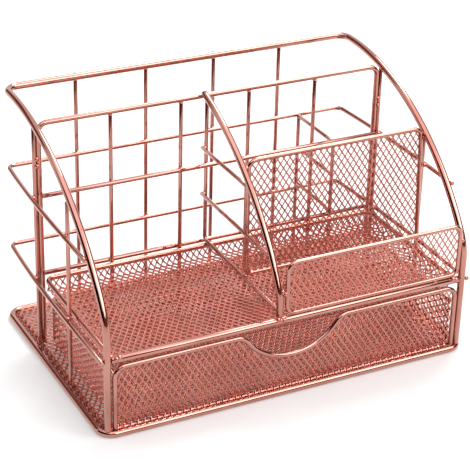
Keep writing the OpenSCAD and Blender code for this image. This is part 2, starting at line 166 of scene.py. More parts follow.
@dataclass(frozen=True)
class Plating:
    """Rose gold electroplating on steel under a thin clear lacquer.

    The plating is a deep copper pink that drifts slowly in tone. The lacquer adds the pale
    sheen at the edges, and the grain of the steel below softens the reflections. The real
    grain is a few hundredths of a millimetre, too fine to show, so it is drawn coarser.
    """

    name: str
    slot: str
    dark: str
    light: str
    roughness: Pair
    lacquer: float = 0.6
    lacquer_roughness: float = 0.04
    tone_size: float = 26.0
    grain_size: float = 0.7
    grain_depth: float = 0.002
    grain_strength: float = 0.25

    def material(self) -> Material:
        """Make the material once and hand out the same one afterwards."""
        if self.name in bpy.data.materials:
            return bpy.data.materials[self.name]
        material, tree = new_material(self.name)
        low, high = NOISE_RANGE
        place = add_node(tree, "TexCoord").outputs["Object"]
        tone = add_node(tree, "TexNoise", {
            "Vector": place, "Scale": 1 / (self.tone_size * MM), "Detail": 2.0}).outputs["Fac"]
        grain = add_node(tree, "TexNoise", {
            "Vector": place, "Scale": 1 / (self.grain_size * MM), "Detail": 3.0}).outputs["Fac"]
        colour = add_ramp(tree, tone, [(low, linear(self.dark)), (high, linear(self.light))])
        rough = add_node(tree, "MapRange", {
            "Value": grain, "From Min": low, "From Max": high,
            "To Min": self.roughness[0], "To Max": self.roughness[1]}).outputs["Result"]
        bump = add_node(tree, "Bump", {
            "Height": grain, "Strength": self.grain_strength,
            "Distance": self.grain_depth * MM})
        shader = add_node(tree, "BsdfPrincipled", {
            "Base Color": colour, "Metallic": 1.0, "Roughness": rough,
            "Coat Weight": self.lacquer, "Coat Roughness": self.lacquer_roughness,
            "Normal": bump.outputs["Normal"]})
        add_node(tree, "OutputMaterial", {"Surface": shader.outputs["BSDF"]})
        return material


# Drawn steel wire, plated and lacquered: nearly a mirror, with sharp streaks along the wire.
WIRE = Plating("rose_gold_wire", "plated_wire", "#B17566", "#C08A7C", (0.05, 0.1))
# Wire under the folded edge of the mesh: the same plating, a little duller.
HEM = Plating("rose_gold_hem", "plated_mesh", "#B87868", "#C58777", (0.12, 0.2))
# Slit and stretched steel sheet: narrow strands with rough flanks and a soft satin sheen.
NET = Plating("rose_gold_net", "plated_mesh", "#BE7262", "#CF8877", (0.22, 0.32),
              lacquer_roughness=0.2, tone_size=18.0)
# Resistance welds: small uneven beads, darker where the plating runs thin.
WELD = Plating("rose_gold_weld", "plated_wire", "#A85F50", "#D08C7C", (0.05, 0.25),
               tone_size=3.0, grain_size=0.5, grain_depth=0.03)


# ---- Geometry ----


def new_mesh(name: str, geometry: Geometry) -> Mesh:
    """Make a mesh of vertices and lists of faces.

    Args:
        name: Name of the mesh.
        geometry: Vertices in metres, and arrays of faces.
    Returns:
        The mesh.
    """
    vertices, faces = geometry
    mesh = bpy.data.meshes.new(name)
    mesh.from_pydata(vertices.tolist(), [], sum((part.tolist() for part in faces), []))
    return mesh


def new_object(name: str, data: ID) -> Object:
    """Make an object and link it to the scene.

    Args:
        name: Name of the object.
        data: Its mesh, lamp or camera.
    Returns:
        The object.
    """
    thing = bpy.data.objects.new(name, data)
    bpy.context.scene.collection.objects.link(thing)
    return thing


@dataclass
class Route:
    """A flat route of straight runs and round bends, in metres and degrees."""

    start: Pair
    heading: float
    points: list[ndarray] = field(init=False)
    headings: list[ndarray] = field(init=False)

    def __post_init__(self) -> None:
        """Begin the route at its start."""
        self.points = [np.array([self.start], float)]
        self.headings = [np.array([self.heading], float)]

    def run(self, length: float) -> "Route":
        """Go straight on.

        Args:
            length: Length of the run.
        Returns:
            The route itself.
        """
        angle = math.radians(self.heading)
        step = length * np.array([[math.cos(angle), math.sin(angle)]])
        self.points.append(self.points[-1][-1:] + step)
        self.headings.append(np.array([self.heading]))
        return self

    def turn(self, radius: float, degrees: float) -> "Route":
        """Follow an arc, to the left for positive degrees.

        Args:
            radius: Radius of the arc's middle line.
            degrees: Angle that the heading changes by.
        Returns:
            The route itself.
        """
        length = radius * math.radians(abs(degrees))
        steps = max(abs(degrees) / BEND_DEGREES, length / BEND_STEP, FEWEST_STEPS)
        steps = math.ceil(steps)
        headings = self.heading + degrees * np.linspace(0, 1, steps + 1)
        angles = np.radians(headings)
        around = math.copysign(radius, degrees) * np.stack([np.sin(angles), -np.cos(angles)], 1)
        self.points.append(self.points[-1][-1:] + around[1:] - around[:1])
        self.headings.append(headings[1:])
        self.heading += degrees
        return self

    def placed(self, plane: Plane, spot: ndarray) -> Sweep:
        """Put the route into space.

        Args:
            plane: Plane that the route lies in.
            spot: Any point of that plane.
        Returns:
            Points, tangents and plane normals, one row each.
        """
        first, second, normal = plane.axes()
        flat = np.concatenate(self.points)
        angles = np.radians(np.concatenate(self.headings))[:, None]
        points = flat[:, :1] * first + flat[:, 1:] * second + abs(normal) * spot
        tangents = np.cos(angles) * first + np.sin(angles) * second
        return points, tangents, np.broadcast_to(normal, points.shape)


def ring_faces(rows: int, sides: int, closed: bool) -> list[ndarray]:
    """Join rings of vertices to a skin, with a tip at each end where it is open.

    Args:
        rows: Number of rings, each anticlockwise about the way to the next one.
        sides: Number of corners of each ring.
        closed: Whether the last ring meets the first.
    Returns:
        Arrays of faces. The two tips are the vertices after the rings.
    """
    index = np.arange(rows * sides).reshape(rows, sides)
    index = np.concatenate([index, index[:, :1]], axis=1)
    index = np.concatenate([index, index[:1]]) if closed else index
    quads = np.stack([index[:-1, :-1], index[:-1, 1:], index[1:, 1:], index[1:, :-1]], -1)
    if closed:
        return [quads.reshape(-1, 4)]
    tip = np.full(sides, rows * sides)
    caps = [np.stack([tip, index[0, 1:], index[0, :-1]], 1),
            np.stack([tip + 1, index[-1, :-1], index[-1, 1:]], 1)]
    return [quads.reshape(-1, 4), np.concatenate(caps)]


def tube(path: Sweep, across: float, deep: float, sides: int = 20) -> Geometry:
    """Sweep an ellipse along a path: point + across cos(a) side + deep sin(a) normal.

    Args:
        path: Points, tangents and normals.
        across: Half width of the wire in its plane.
        deep: Half width of the wire along the normal.
        sides: Number of corners of each ring.
    Returns:
        Vertices and faces, closed to a loop if the path's end meets its start. Open ends
        are domed within the path's length.
    """
    closed = np.allclose(path[0][0], path[0][-1])
    points, tangents, normals = (part[:-1] if closed else part for part in path)
    scale, tips = np.ones(len(points)), []
    if not closed:
        inset = deep * np.array(TIP_INSET)[:, None]
        tips = [points[:1], points[-1:]]
        points = np.concatenate([points[0] + inset * tangents[0], points[1:-1],
                                 points[-1] - inset[::-1] * tangents[-1]])
        tangents, normals = (np.concatenate([part[[0] * 3], part[1:-1], part[[-1] * 3]])
                             for part in (tangents, normals))
        scale = np.concatenate([TIP_WIDTH, np.ones(len(points) - 6), TIP_WIDTH[::-1]])
    angles = np.linspace(0, 2 * math.pi, sides, endpoint=False)[None, :, None]
    ring = (np.cos(angles) * across * np.cross(normals, tangents)[:, None]
            + np.sin(angles) * deep * normals[:, None])
    grid = points[:, None] + scale[:, None, None] * ring
    vertices = np.concatenate([grid.reshape(-1, 3), *tips])
    return vertices, ring_faces(len(points), sides, closed)


def beads(spots: ndarray, radii: ndarray, rings: int = 5, sides: int = 8) -> Geometry:
    """Make small rounded weld beads: spot + radius (cos a sin b, sin a sin b, cos b).

    Args:
        spots: Middle of each bead.
        radii: Half sizes of each bead along the three axes.
        rings: Rings between the two poles.
        sides: Corners of each ring.
    Returns:
        Vertices and faces of all beads.
    """
    b = np.linspace(math.pi, 0, rings + 2)[1:-1, None]
    a = np.linspace(0, 2 * math.pi, sides, endpoint=False)[None]
    ball = np.stack(np.broadcast_arrays(
        np.cos(a) * np.sin(b), np.sin(a) * np.sin(b), np.cos(b)), -1)
    ball = np.concatenate([ball.reshape(-1, 3), [[0, 0, -1], [0, 0, 1]]])
    starts = (np.arange(len(spots)) * len(ball))[:, None, None]
    vertices = spots[:, None] + radii[:, None] * ball
    return vertices.reshape(-1, 3), [(group + starts).reshape(-1, group.shape[1])
                                     for group in ring_faces(rings, sides, False)]


@dataclass(frozen=True)
class ExpandedMetal:
    """Staggered diamonds of slit and stretched sheet, with strands that stand tilted.

    A diamond is across wide and along high, and its strands are strand wide. Rim is the
    share of the thickness that is left at the edge of an opening.
    """

    across: float = 3.75
    along: float = 5.65
    strand: float = 0.75
    thickness: float = 0.45
    tilt: float = 0.28
    rim: float = 0.9
    spare_cells: int = 2
    cutter_reach: float = 4.0

    def lattice(self, low: ndarray, high: ndarray) -> Geometry:
        """Lay closed diamond cells over a rectangle and a little beyond it.

        A cell's four corners are shared with its neighbours at full thickness. Its
        opening is the same diamond made smaller, with its upper corner pushed down
        and its lower corner pushed up by the tilt.

        Args:
            low: Lower corner of the rectangle.
            high: Upper corner of the rectangle.
        Returns:
            Vertices and faces in flat coordinates, with the thickness along Z.
        """
        half = np.array([self.across, self.along]) * MM / 2
        middle = (low + high) / 2
        reach = np.ceil((high - low) / 2 / half).astype(int) + self.spare_cells
        i, j = np.meshgrid(np.arange(-reach[0], reach[0] + 1),
                           np.arange(-reach[1], reach[1] + 1), indexing="ij")
        cells = np.stack([i, j], -1)[(i + j) % 2 == 0][:, None]
        around = np.array([[1, 0], [0, 1], [-1, 0], [0, -1]])
        corners, inverse = np.unique((cells + around).reshape(-1, 2), axis=0, return_inverse=True)
        inradius = half[0] * half[1] / np.hypot(*half)
        open_part = 1 - self.strand * MM / 2 / inradius
        inner = (cells + open_part * around).reshape(-1, 2)
        flat = middle + half * np.concatenate([corners, inner])
        lean = np.tile(np.array([0, -1, 0, 1]) * self.tilt * MM, len(cells))
        lean = np.concatenate([np.zeros(len(corners)), lean])
        height = np.full(len(flat), self.thickness * MM / 2)
        height[len(corners):] *= self.rim
        vertices = np.concatenate([np.column_stack([flat, lean + side * height])
                                   for side in (1, -1)])
        total = len(flat)
        rim, hole = inverse.reshape(-1, 4), np.arange(len(corners), total).reshape(-1, 4)
        rim_next, hole_next = np.roll(rim, -1, axis=1), np.roll(hole, -1, axis=1)
        top = np.stack([rim, rim_next, hole_next, hole], -1)
        bottom = np.stack([rim, hole, hole_next, rim_next], -1) + total
        wall = np.stack([hole, hole_next, hole_next + total, hole + total], -1)
        beside = cells + around + np.roll(around, -1, axis=0)
        lonely = np.any(abs(beside) > reach, axis=-1)
        edge = np.stack([rim, rim + total, rim_next + total, rim_next], -1)[lonely]
        return vertices, [np.concatenate([f.reshape(-1, 4) for f in (top, bottom, wall, edge)])]

    def cut(self, outline: ndarray) -> Mesh:
        """Cut the expanded metal to an outline.

        Args:
            outline: Corners of the flat outline, anticlockwise.
        Returns:
            A closed flat mesh around Z = 0.
        """
        sheet = new_mesh("sheet", self.lattice(outline.min(0), outline.max(0)))
        count, high = len(outline), self.cutter_reach * self.thickness * MM
        ring = np.arange(count)
        following = (ring + 1) % count
        prism = (np.concatenate([np.column_stack([outline, np.full(count, z)])
                                 for z in (-high, high)]),
                 [np.stack([ring, following, following + count, ring + count], 1),
                  ring[None] + count, ring[None, ::-1]])
        blank = new_object("sheet", sheet)
        cutter = new_object("outline", new_mesh("outline", prism))
        clip = blank.modifiers.new("outline", "BOOLEAN")
        clip.operation, clip.solver, clip.object = "INTERSECT", "MANIFOLD", cutter
        evaluated = blank.evaluated_get(bpy.context.evaluated_depsgraph_get())
        result = bpy.data.meshes.new_from_object(evaluated)
        for thing in (blank, cutter):
            old = thing.data
            bpy.data.objects.remove(thing)
            bpy.data.meshes.remove(old)
        return result


@dataclass(frozen=True)
class Fold:
    """A fold of a sheet beyond a line, with the bend's middle radius in metres."""

    axis: int
    sign: int
    start: float
    radius: float
    up: int = 1

    def lines(self, count: int = 4) -> ndarray:
        """Places along the axis where the flat sheet is cut so that it can bend."""
        return self.start + self.sign * self.radius * math.pi / 2 * np.linspace(0, 1, count)

    def bent(self, flat: ndarray, shaped: ndarray) -> None:
        """Bend the part beyond the fold: x = (r - t) sin a, z = r - (r - t) cos a.

        Args:
            flat: Vertices of the flat sheet, with its thickness t along Z.
            shaped: Vertices that are changed in place.
        """
        way = self.sign * (flat[:, self.axis] - self.start)
        beyond = way > 0
        angle = np.clip(way[beyond] / self.radius, 0, math.pi / 2)
        rest = np.maximum(way[beyond] - self.radius * math.pi / 2, 0)
        arm = self.radius - self.up * flat[beyond, 2]
        shaped[beyond, self.axis] = self.start + self.sign * arm * np.sin(angle)
        shaped[beyond, 2] = self.up * (self.radius - arm * np.cos(angle) + rest)


def folds_around(low: ndarray, high: ndarray, radius: float, up: int = 1) -> list[Fold]:
    """Folds at the left, right, front and back of a flat floor."""
    return [Fold(axis, sign, corner[axis], radius, up)
            for axis in (0, 1) for sign, corner in ((-1, low), (1, high))]


def shape_sheet(mesh: Mesh, folds: list[Fold], plane: Plane, spot: ndarray) -> None:
    """Fold a flat sheet and move it to its place.

    Args:
        mesh: Flat closed sheet around Z = 0.
        folds: Folds at its sides.
        plane: Plane of its middle part.
        spot: Any point of that plane.
    """
    work = bmesh.new()
    work.from_mesh(mesh)
    for fold in folds:
        normal = np.eye(3)[fold.axis]
        for line in fold.lines():
            bmesh.ops.bisect_plane(work, geom=work.verts[:] + work.edges[:] + work.faces[:],
                                   plane_co=line * normal, plane_no=normal, dist=CUT_TOLERANCE)
    work.to_mesh(mesh)
    work.free()
    flat = np.empty(len(mesh.vertices) * 3)
    mesh.vertices.foreach_get("co", flat)
    flat = flat.reshape(-1, 3)
    shaped = flat.copy()
    for fold in folds:
        fold.bent(flat, shaped)
    axes = plane.axes()
    mesh.vertices.foreach_set("co", (shaped @ axes + abs(axes[2]) * spot).ravel())
    mesh.update()


# ---- Boxes of CAD nodes and routes in them ----


@dataclass(frozen=True)
class Box:
    """Lowest and highest corner of a CAD node, in metres."""

    low: ndarray
    high: ndarray

    @classmethod
    def of(cls, node: str) -> "Box":
        """Read the box of a node."""
        low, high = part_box(node)
        return cls(np.array(low), np.array(high))

    @property
    def middle(self) -> ndarray:
        """Middle of the box."""
        return (self.low + self.high) / 2

    @property
    def size(self) -> ndarray:
        """Size of the box."""
        return self.high - self.low

    def inner(self, radius: float) -> tuple[ndarray, ndarray]:
        """Corners moved in by a wire's radius."""
        return self.low + radius, self.high - radius

    def wire(self, axis: int) -> tuple[float, ndarray, ndarray]:
        """Radius of a wire that lies across an axis, and the corners moved in by it."""
        radius = self.size[axis] / 2
        return radius, *self.inner(radius)


def u_route(foot: Pair, top: ndarray, corner: float) -> Route:
    """Follow an upside-down U from its left foot to its right one.

    Args:
        foot: Left foot.
        top: Upper right corner.
        corner: Radius of the bends.
    Returns:
        The open route.
    """
    width, rise = top[0] - foot[0] - 2 * corner, top[1] - foot[1] - corner
    route = Route(foot, 90).run(rise).turn(corner, -90)
    return route.run(width).turn(corner, -90).run(rise)


def loop_route(low: ndarray, high: ndarray, corner: float) -> Route:
    """Follow a closed rectangle with round corners, anticlockwise.

    Args:
        low: Lower corner.
        high: Upper corner.
        corner: Radius of the bends.
    Returns:
        The closed route.
    """
    width, rise = high - low - 2 * corner
    route = Route((low[0] + corner, low[1]), 0)
    for length in (width, rise, width, rise):
        route.run(length).turn(corner, 90)
    return route


# ---- Sub-assemblies ----


@dataclass
class SubAssembly:
    """A group of pieces that ride on one body.

    Its weld beads have the radius bead, times bead_shape along the three axes.
    """

    body: Body = Body.FRAME
    metal: ExpandedMetal = ExpandedMetal()
    bead: float = 1.5
    bead_shape: Triple = (1.0, 1.0, 1.0)

    def build(self) -> None:
        """Build and dress every piece of the group."""
        raise NotImplementedError

    def add(self, name: str, mesh: Mesh, finish: Plating, nodes: tuple[str, ...],
            smooth: bool = True) -> None:
        """Make a piece of a mesh, give it its finish and tie it to the CAD.

        Args:
            name: Name of the piece.
            mesh: Mesh in place, in metres.
            finish: Finish of the whole piece.
            nodes: CAD nodes that it replaces.
            smooth: Whether its faces are shaded smooth.
        """
        mesh.name = name
        mesh.polygons.foreach_set("use_smooth", np.full(len(mesh.polygons), smooth))
        mesh.materials.clear()
        mesh.materials.append(finish.material())
        piece = new_object(name, mesh)
        if nodes:
            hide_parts(*nodes)
        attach(piece, self.body.value)
        LOG.info("%s: %d faces", name, len(mesh.polygons))

    def add_wire(self, node: str, route: Route, plane: Plane, radius: float, widen: float = 0.0,
                 finish: Plating = WIRE, also: tuple[str, ...] = ()) -> None:
        """Replace a CAD wire by a tube along a route through the middle of its box.

        Args:
            node: CAD node that the piece is named after.
            route: Middle line of the wire.
            plane: Plane that the route lies in.
            radius: Radius of the wire.
            widen: What its half width in the plane has beyond its radius.
            finish: Finish of the wire.
            also: Other CAD nodes that it replaces.
        """
        path = route.placed(plane, Box.of(node).middle)
        geometry = tube(path, radius + widen * MM, radius)
        self.add(f"{node}_tube", new_mesh(node, geometry), finish, (node, *also))

    def add_straight(self, node: str) -> None:
        """Replace a straight CAD wire by a tube through the middle of its box.

        Args:
            node: CAD node.
        """
        box = Box.of(node)
        axis = int(np.argmax(box.size))
        radius = float(np.delete(box.size, axis).min()) / 2
        plane, first = (Plane.SIDEWAYS, 1) if axis else (Plane.UPRIGHT, 0)
        start = box.middle
        start[axis] = box.low[axis]
        route = Route((start[first], start[2]), 90 if axis == 2 else 0).run(box.size[axis])
        self.add_wire(node, route, plane, radius)

    def add_level_u(self, node: str, corner: float, widen: float = 0.0,
                    finish: Plating = WIRE) -> None:
        """Replace a level U that is open to the front.

        Args:
            node: CAD node.
            corner: Radius of its bends.
            widen: What its half width in the plane has beyond its radius.
            finish: Finish of the wire.
        """
        box = Box.of(node)
        radius, low, high = box.wire(2)
        route = u_route((low[0], box.low[1]), high, corner * MM)
        self.add_wire(node, route, Plane.LEVEL, radius, widen, finish=finish)

    def add_sheet(self, name: str, nodes: tuple[str, ...], outline: ndarray, plane: Plane,
                  spot: ndarray, metal: ExpandedMetal, folds: list[Fold]) -> None:
        """Replace CAD sheets by one piece of expanded metal.

        Args:
            name: Name of the piece.
            nodes: CAD nodes that it replaces.
            outline: Corners of the flat sheet, anticlockwise.
            plane: Plane of the sheet, or of its middle part where it is folded.
            spot: Any point of that plane.
            metal: Kind of expanded metal.
            folds: Folds at its sides.
        """
        mesh = metal.cut(outline)
        shape_sheet(mesh, folds, plane, spot)
        self.add(name, mesh, NET, nodes, smooth=False)

    def add_welds(self, name: str, spots: list[Triple]) -> None:
        """Add the weld beads of the group, with their middles at the spots, as one piece."""
        sizes = np.tile(np.array(self.bead_shape) * self.bead * MM, (len(spots), 1))
        self.add(name, new_mesh(name, beads(np.array(spots), sizes)), WELD, ())


def plus_outline(low: ndarray, high: ndarray, side: float, front: float,
                 cut: float = 0.0) -> ndarray:
    """Outline of a floor with flaps at its sides, for folding.

    Args:
        low: Lower corner of the floor without its bends.
        high: Upper corner of the floor without its bends.
        side: Length of the left, right and back flaps.
        front: Length of the front flap.
        cut: How far the flaps stay away from the floor's corners.
    Returns:
        Corners, anticlockwise.
    """
    (x0, y0), (x1, y1) = low + cut, high - cut
    left, right, back = low[0] - side, high[0] + side, high[1] + side
    front = low[1] - front
    return np.array([
        (x0, front), (x1, front), (x1, y0), (right, y0), (right, y1), (x1, y1),
        (x1, back), (x0, back), (x0, y1), (left, y1), (left, y0), (x0, y0)])


@dataclass
class Base(SubAssembly):
    """Thick base ring, edge wire and the mesh plate that wraps over the edge wire.

    The plate bends down with the radius wrap and goes on for flap_end below the bend.
    """

    ring_radius: float = 2.0
    ring_corner: float = 8.0
    ring_sides: int = 24
    edge_corner: float = 3.8
    wrap: float = 1.66
    flap_end: float = 0.2
    corner_cut: float = 1.33
    metal: ExpandedMetal = ExpandedMetal(strand=1.05)

    def build(self) -> None:
        """Build the ring, the edge wire and the plate."""
        box = Box.of("base_ring")
        radius = self.ring_radius * MM
        low, high = box.inner(radius)
        route = loop_route(low[:2], high[:2], self.ring_corner * MM)
        path = route.placed(Plane.LEVEL, high)
        vertices, faces = tube(path, radius, radius, self.ring_sides)
        vertices[:, 2] = np.maximum(vertices[:, 2], box.low[2])
        self.add("base_ring_tube", new_mesh("base_ring", (vertices, faces)), WIRE, ("base_ring",))
        edge = Box.of("base_edge_wire")
        thin, low, high = edge.wire(2)
        route = loop_route(low[:2], high[:2], self.edge_corner * MM)
        self.add_wire("base_edge_wire", route, Plane.LEVEL, thin, finish=HEM)
        wrap = self.wrap * MM
        flap = wrap * math.pi / 2 + self.flap_end * MM
        outline = plus_outline(low[:2], high[:2], flap, flap, self.corner_cut * MM)
        self.add_sheet("base_plate_sheet", ("base_mesh",), outline, Plane.LEVEL,
                       edge.middle + wrap, self.metal, folds_around(low, high, wrap, -1))


@dataclass
class Hoop(SubAssembly):
    """Outer hoop, two guard rings, front rail, back uprights and side posts.

    The hoop's sides rise straight, lean back with the radius bend and follow a large arc to
    the level part behind, which is flat deep. The guard rings bow inwards with the radius
    guard_bow, from guard_bow_depth in front of their backs. Rail welds are offsets from the
    rail's end: inwards, back and up. Post welds lie so far behind a post's front, so high.
    """

    bend: float = 24.5
    arc: float = 149.5
    flat: float = 8.1
    corner: float = 7.0
    guard_corner: float = 4.5
    guard_bow: float = 1000.0
    guard_bow_depth: float = 82.35
    radius: float = 2.0
    rail_welds: tuple[Triple, ...] = ((2.6, 0.7, 0.9), (4.4, 1.0, 1.3))
    post_welds: tuple[Pair, ...] = ((0.3, 115.0), (0.0, 111.0))

    def hoop_path(self, box: Box) -> Sweep:
        """Follow the hoop up its left side, round the back and down its right side.

        Args:
            box: Box of the hoop.
        Returns:
            Points, tangents and normals.
        """
        radius = self.radius * MM
        low, high = box.inner(radius)
        bend, arc, corner = self.bend * MM, self.arc * MM, self.corner * MM
        top_y = high[1] - self.flat * MM
        angle = math.acos((top_y - low[1] - bend) / (arc - bend))
        bend_z = high[2] - arc + (arc - bend) * math.sin(angle)
        rise, degrees = bend_z - box.low[2], math.degrees(angle)
        left = Route((low[1], box.low[2]), 90).run(rise).turn(bend, -degrees)
        left.turn(arc, degrees - 90)
        run = self.flat * MM - corner
        back = Route((low[0], top_y), 90).run(run).turn(corner, -90)
        back.run(high[0] - low[0] - 2 * corner).turn(corner, -90).run(run)
        right = Route((top_y, high[2]), 180).turn(arc, 90 - degrees)
        right.turn(bend, degrees).run(rise)
        starts, ends = left.placed(Plane.SIDEWAYS, low), right.placed(Plane.SIDEWAYS, high)
        points, tangents, normals = back.placed(Plane.LEVEL, high)
        inward = np.cross(tangents, normals)
        points, tangents = points[1:-1], tangents[1:-1]
        return (np.concatenate([starts[0], points, ends[0]]),
                np.concatenate([starts[1], tangents, ends[1]]),
                np.concatenate([starts[2], inward[1:-1], -ends[2]]))

    def add_guard_ring(self, node: str) -> None:
        """Replace a level U whose sides bow inwards towards the back.

        Args:
            node: CAD node.
        """
        box = Box.of(node)
        radius, low, high = box.wire(2)
        bow, corner = self.guard_bow * MM, self.guard_corner * MM
        bow_y = high[1] - self.guard_bow_depth * MM
        turn = math.degrees(math.asin((high[1] - corner - bow_y) / (bow - corner)))
        half = high[0] - bow + (bow - corner) * math.cos(math.radians(turn))
        run = bow_y - box.low[1]
        route = Route((low[0], box.low[1]), 90).run(run).turn(bow, -turn).turn(corner, turn - 90)
        route.run(2 * half).turn(corner, turn - 90).turn(bow, -turn).run(run)
        self.add_wire(node, route, Plane.LEVEL, radius)

    def build(self) -> None:
        """Build the hoop and all wires in its planes."""
        box = Box.of("outer_hoop")
        geometry = tube(self.hoop_path(box), self.radius * MM, self.radius * MM)
        self.add("outer_hoop_tube", new_mesh("outer_hoop", geometry), WIRE, ("outer_hoop",))
        self.add_guard_ring("upper_guard_ring")
        self.add_guard_ring("lower_guard_ring")
        uprights = [f"back_upright_{number}" for number in range(1, 5)]
        posts = [f"{end}_side_post_{side}" for end in ("rear", "front")
                 for side in ("left", "right")]
        for node in ("front_rail", *uprights, *posts):
            self.add_straight(node)
        rail = Box.of("front_rail")
        heights = [Box.of(f"{ring}_guard_ring").middle[2] for ring in ("upper", "lower")]
        spots = [(post.middle[0], post.low[1], z) for post in map(Box.of, uprights)
                 for z in (*heights, box.high[2] - self.radius * MM)]
        for side, way, x in (("left", 1, rail.low[0]), ("right", -1, rail.high[0])):
            spots += [(x + way * inwards * MM, rail.low[1] + back * MM, rail.middle[2] + up * MM)
                      for inwards, back, up in self.rail_welds]
            for end in ("front", "rear"):
                post = Box.of(f"{end}_side_post_{side}")
                outer, inner = (post.low[0], post.high[0])[::way]
                spots += [(outer, post.middle[1], z) for z in heights]
            spots += [(inner, post.low[1] + back * MM, z * MM) for back, z in self.post_welds]
        self.add_welds("hoop_welds", spots)


@dataclass
class MiddleFrame(SubAssembly):
    """Upright frame between the tray and the file slot."""

    corner: float = 5.0
    bead_shape: Triple = (0.9, 0.7, 0.9)

    def build(self) -> None:
        """Build the frame, its rails and its uprights."""
        box = Box.of("mid_frame")
        radius, low, high = box.wire(1)
        route = u_route((low[0], box.low[2]), high[[0, 2]], self.corner * MM)
        self.add_wire("mid_frame", route, Plane.UPRIGHT, radius)
        uprights = [f"mid_upright_{number}" for number in range(1, 5)]
        for node in ("mid_rail", "mid_bottom_rail", *uprights):
            self.add_straight(node)
        rail, bottom = Box.of("mid_rail"), Box.of("mid_bottom_rail")
        spots = [(Box.of(node).middle[0], y, z) for node in uprights
                 for y, z in ((rail.high[1], rail.middle[2]), (bottom.low[1], bottom.middle[2]),
                              (box.middle[1], high[2] - radius))]
        self.add_welds("middle_frame_welds", spots)


@dataclass
class Tray(SubAssembly):
    """Folded mesh tray that hangs on its hemmed rim."""

    corner: float = 5.0
    fold: float = 2.4
    widen: float = -0.2
    front_gap: float = 1.6
    lip: float = 1.0

    def build(self) -> None:
        """Build the rim, the front wire and the folded sheet."""
        self.add_level_u("tray_rim", self.corner, self.widen, HEM)
        self.add_straight("tray_front_wire")
        rim, front = Box.of("tray_rim"), Box.of("tray_front_wire")
        base = Box.of("tray_floor").middle
        _, start, end = rim.wire(2)
        fold = self.fold * MM
        low = np.array([start[0], front.low[1] + self.front_gap * MM]) + fold
        high = end[:2] - fold
        bend = fold * math.pi / 2
        wall = rim.middle[2] - base[2] - fold
        lip = front.middle[2] + self.lip * MM - base[2] - fold
        outline = plus_outline(low, high, bend + wall, bend + lip)
        nodes = ("tray_floor", "tray_back_wall", "tray_left_wall", "tray_right_wall")
        self.add_sheet("tray_sheet", nodes, outline, Plane.LEVEL, base, self.metal,
                       folds_around(low, high, fold))


@dataclass
class Divider(SubAssembly):
    """Centre arc, divider wire and the two rungs.

    The arc's middle lies arc_middle behind its leg, and its end arc_end behind that middle.
    Foot welds are offsets from the top of the front rail: to the right, back and up.
    """

    bend: float = 15.0
    arc: float = 158.0
    arc_middle: float = 140.2
    arc_end: float = 47.0
    divider_bend: float = 3.0
    foot_welds: tuple[Triple, ...] = (
        (-1.4, 0.7, -0.4), (1.8, 0.6, -1.4), (1.6, 2.894, 14.0))

    def build(self) -> None:
        """Build the arc, the bent wire and the rungs."""
        box = Box.of("centre_arc")
        radius = box.size[0] / 2
        leg_y = box.low[1] + radius
        bend, arc = self.bend * MM, self.arc * MM
        angle = math.acos((self.arc_middle * MM - bend) / (arc - bend))
        end = math.acos(self.arc_end / self.arc)
        middle_z = box.high[2] - (radius + arc) * math.sin(end)
        rise = middle_z + (arc - bend) * math.sin(angle) - box.low[2]
        route = Route((leg_y, box.low[2]), 90).run(rise).turn(bend, -math.degrees(angle))
        route.turn(arc, -math.degrees(end - angle))
        self.add_wire("centre_arc", route, Plane.SIDEWAYS, radius)
        wire = Box.of("centre_divider_wire")
        thin, low, high = wire.wire(0)
        turn = self.divider_bend * MM
        route = Route((high[1], wire.high[2]), -90).run(wire.high[2] - low[2] - turn)
        route.turn(turn, -90).run(high[1] - turn - wire.low[1])
        self.add_wire("centre_divider_wire", route, Plane.SIDEWAYS, thin)
        rail = Box.of("front_rail")
        spots = [(box.middle[0] + x * MM, rail.low[1] + y * MM, rail.high[2] + z * MM)
                 for x, y, z in self.foot_welds]
        for node in ("divider_rung_upper", "divider_rung_lower"):
            self.add_straight(node)
            rung = Box.of(node)
            spots += [(rung.high[0], y, rung.middle[2]) for y in
                      (rung.low[1], rung.high[1] - thin)]
        self.add_welds("divider_welds", spots)


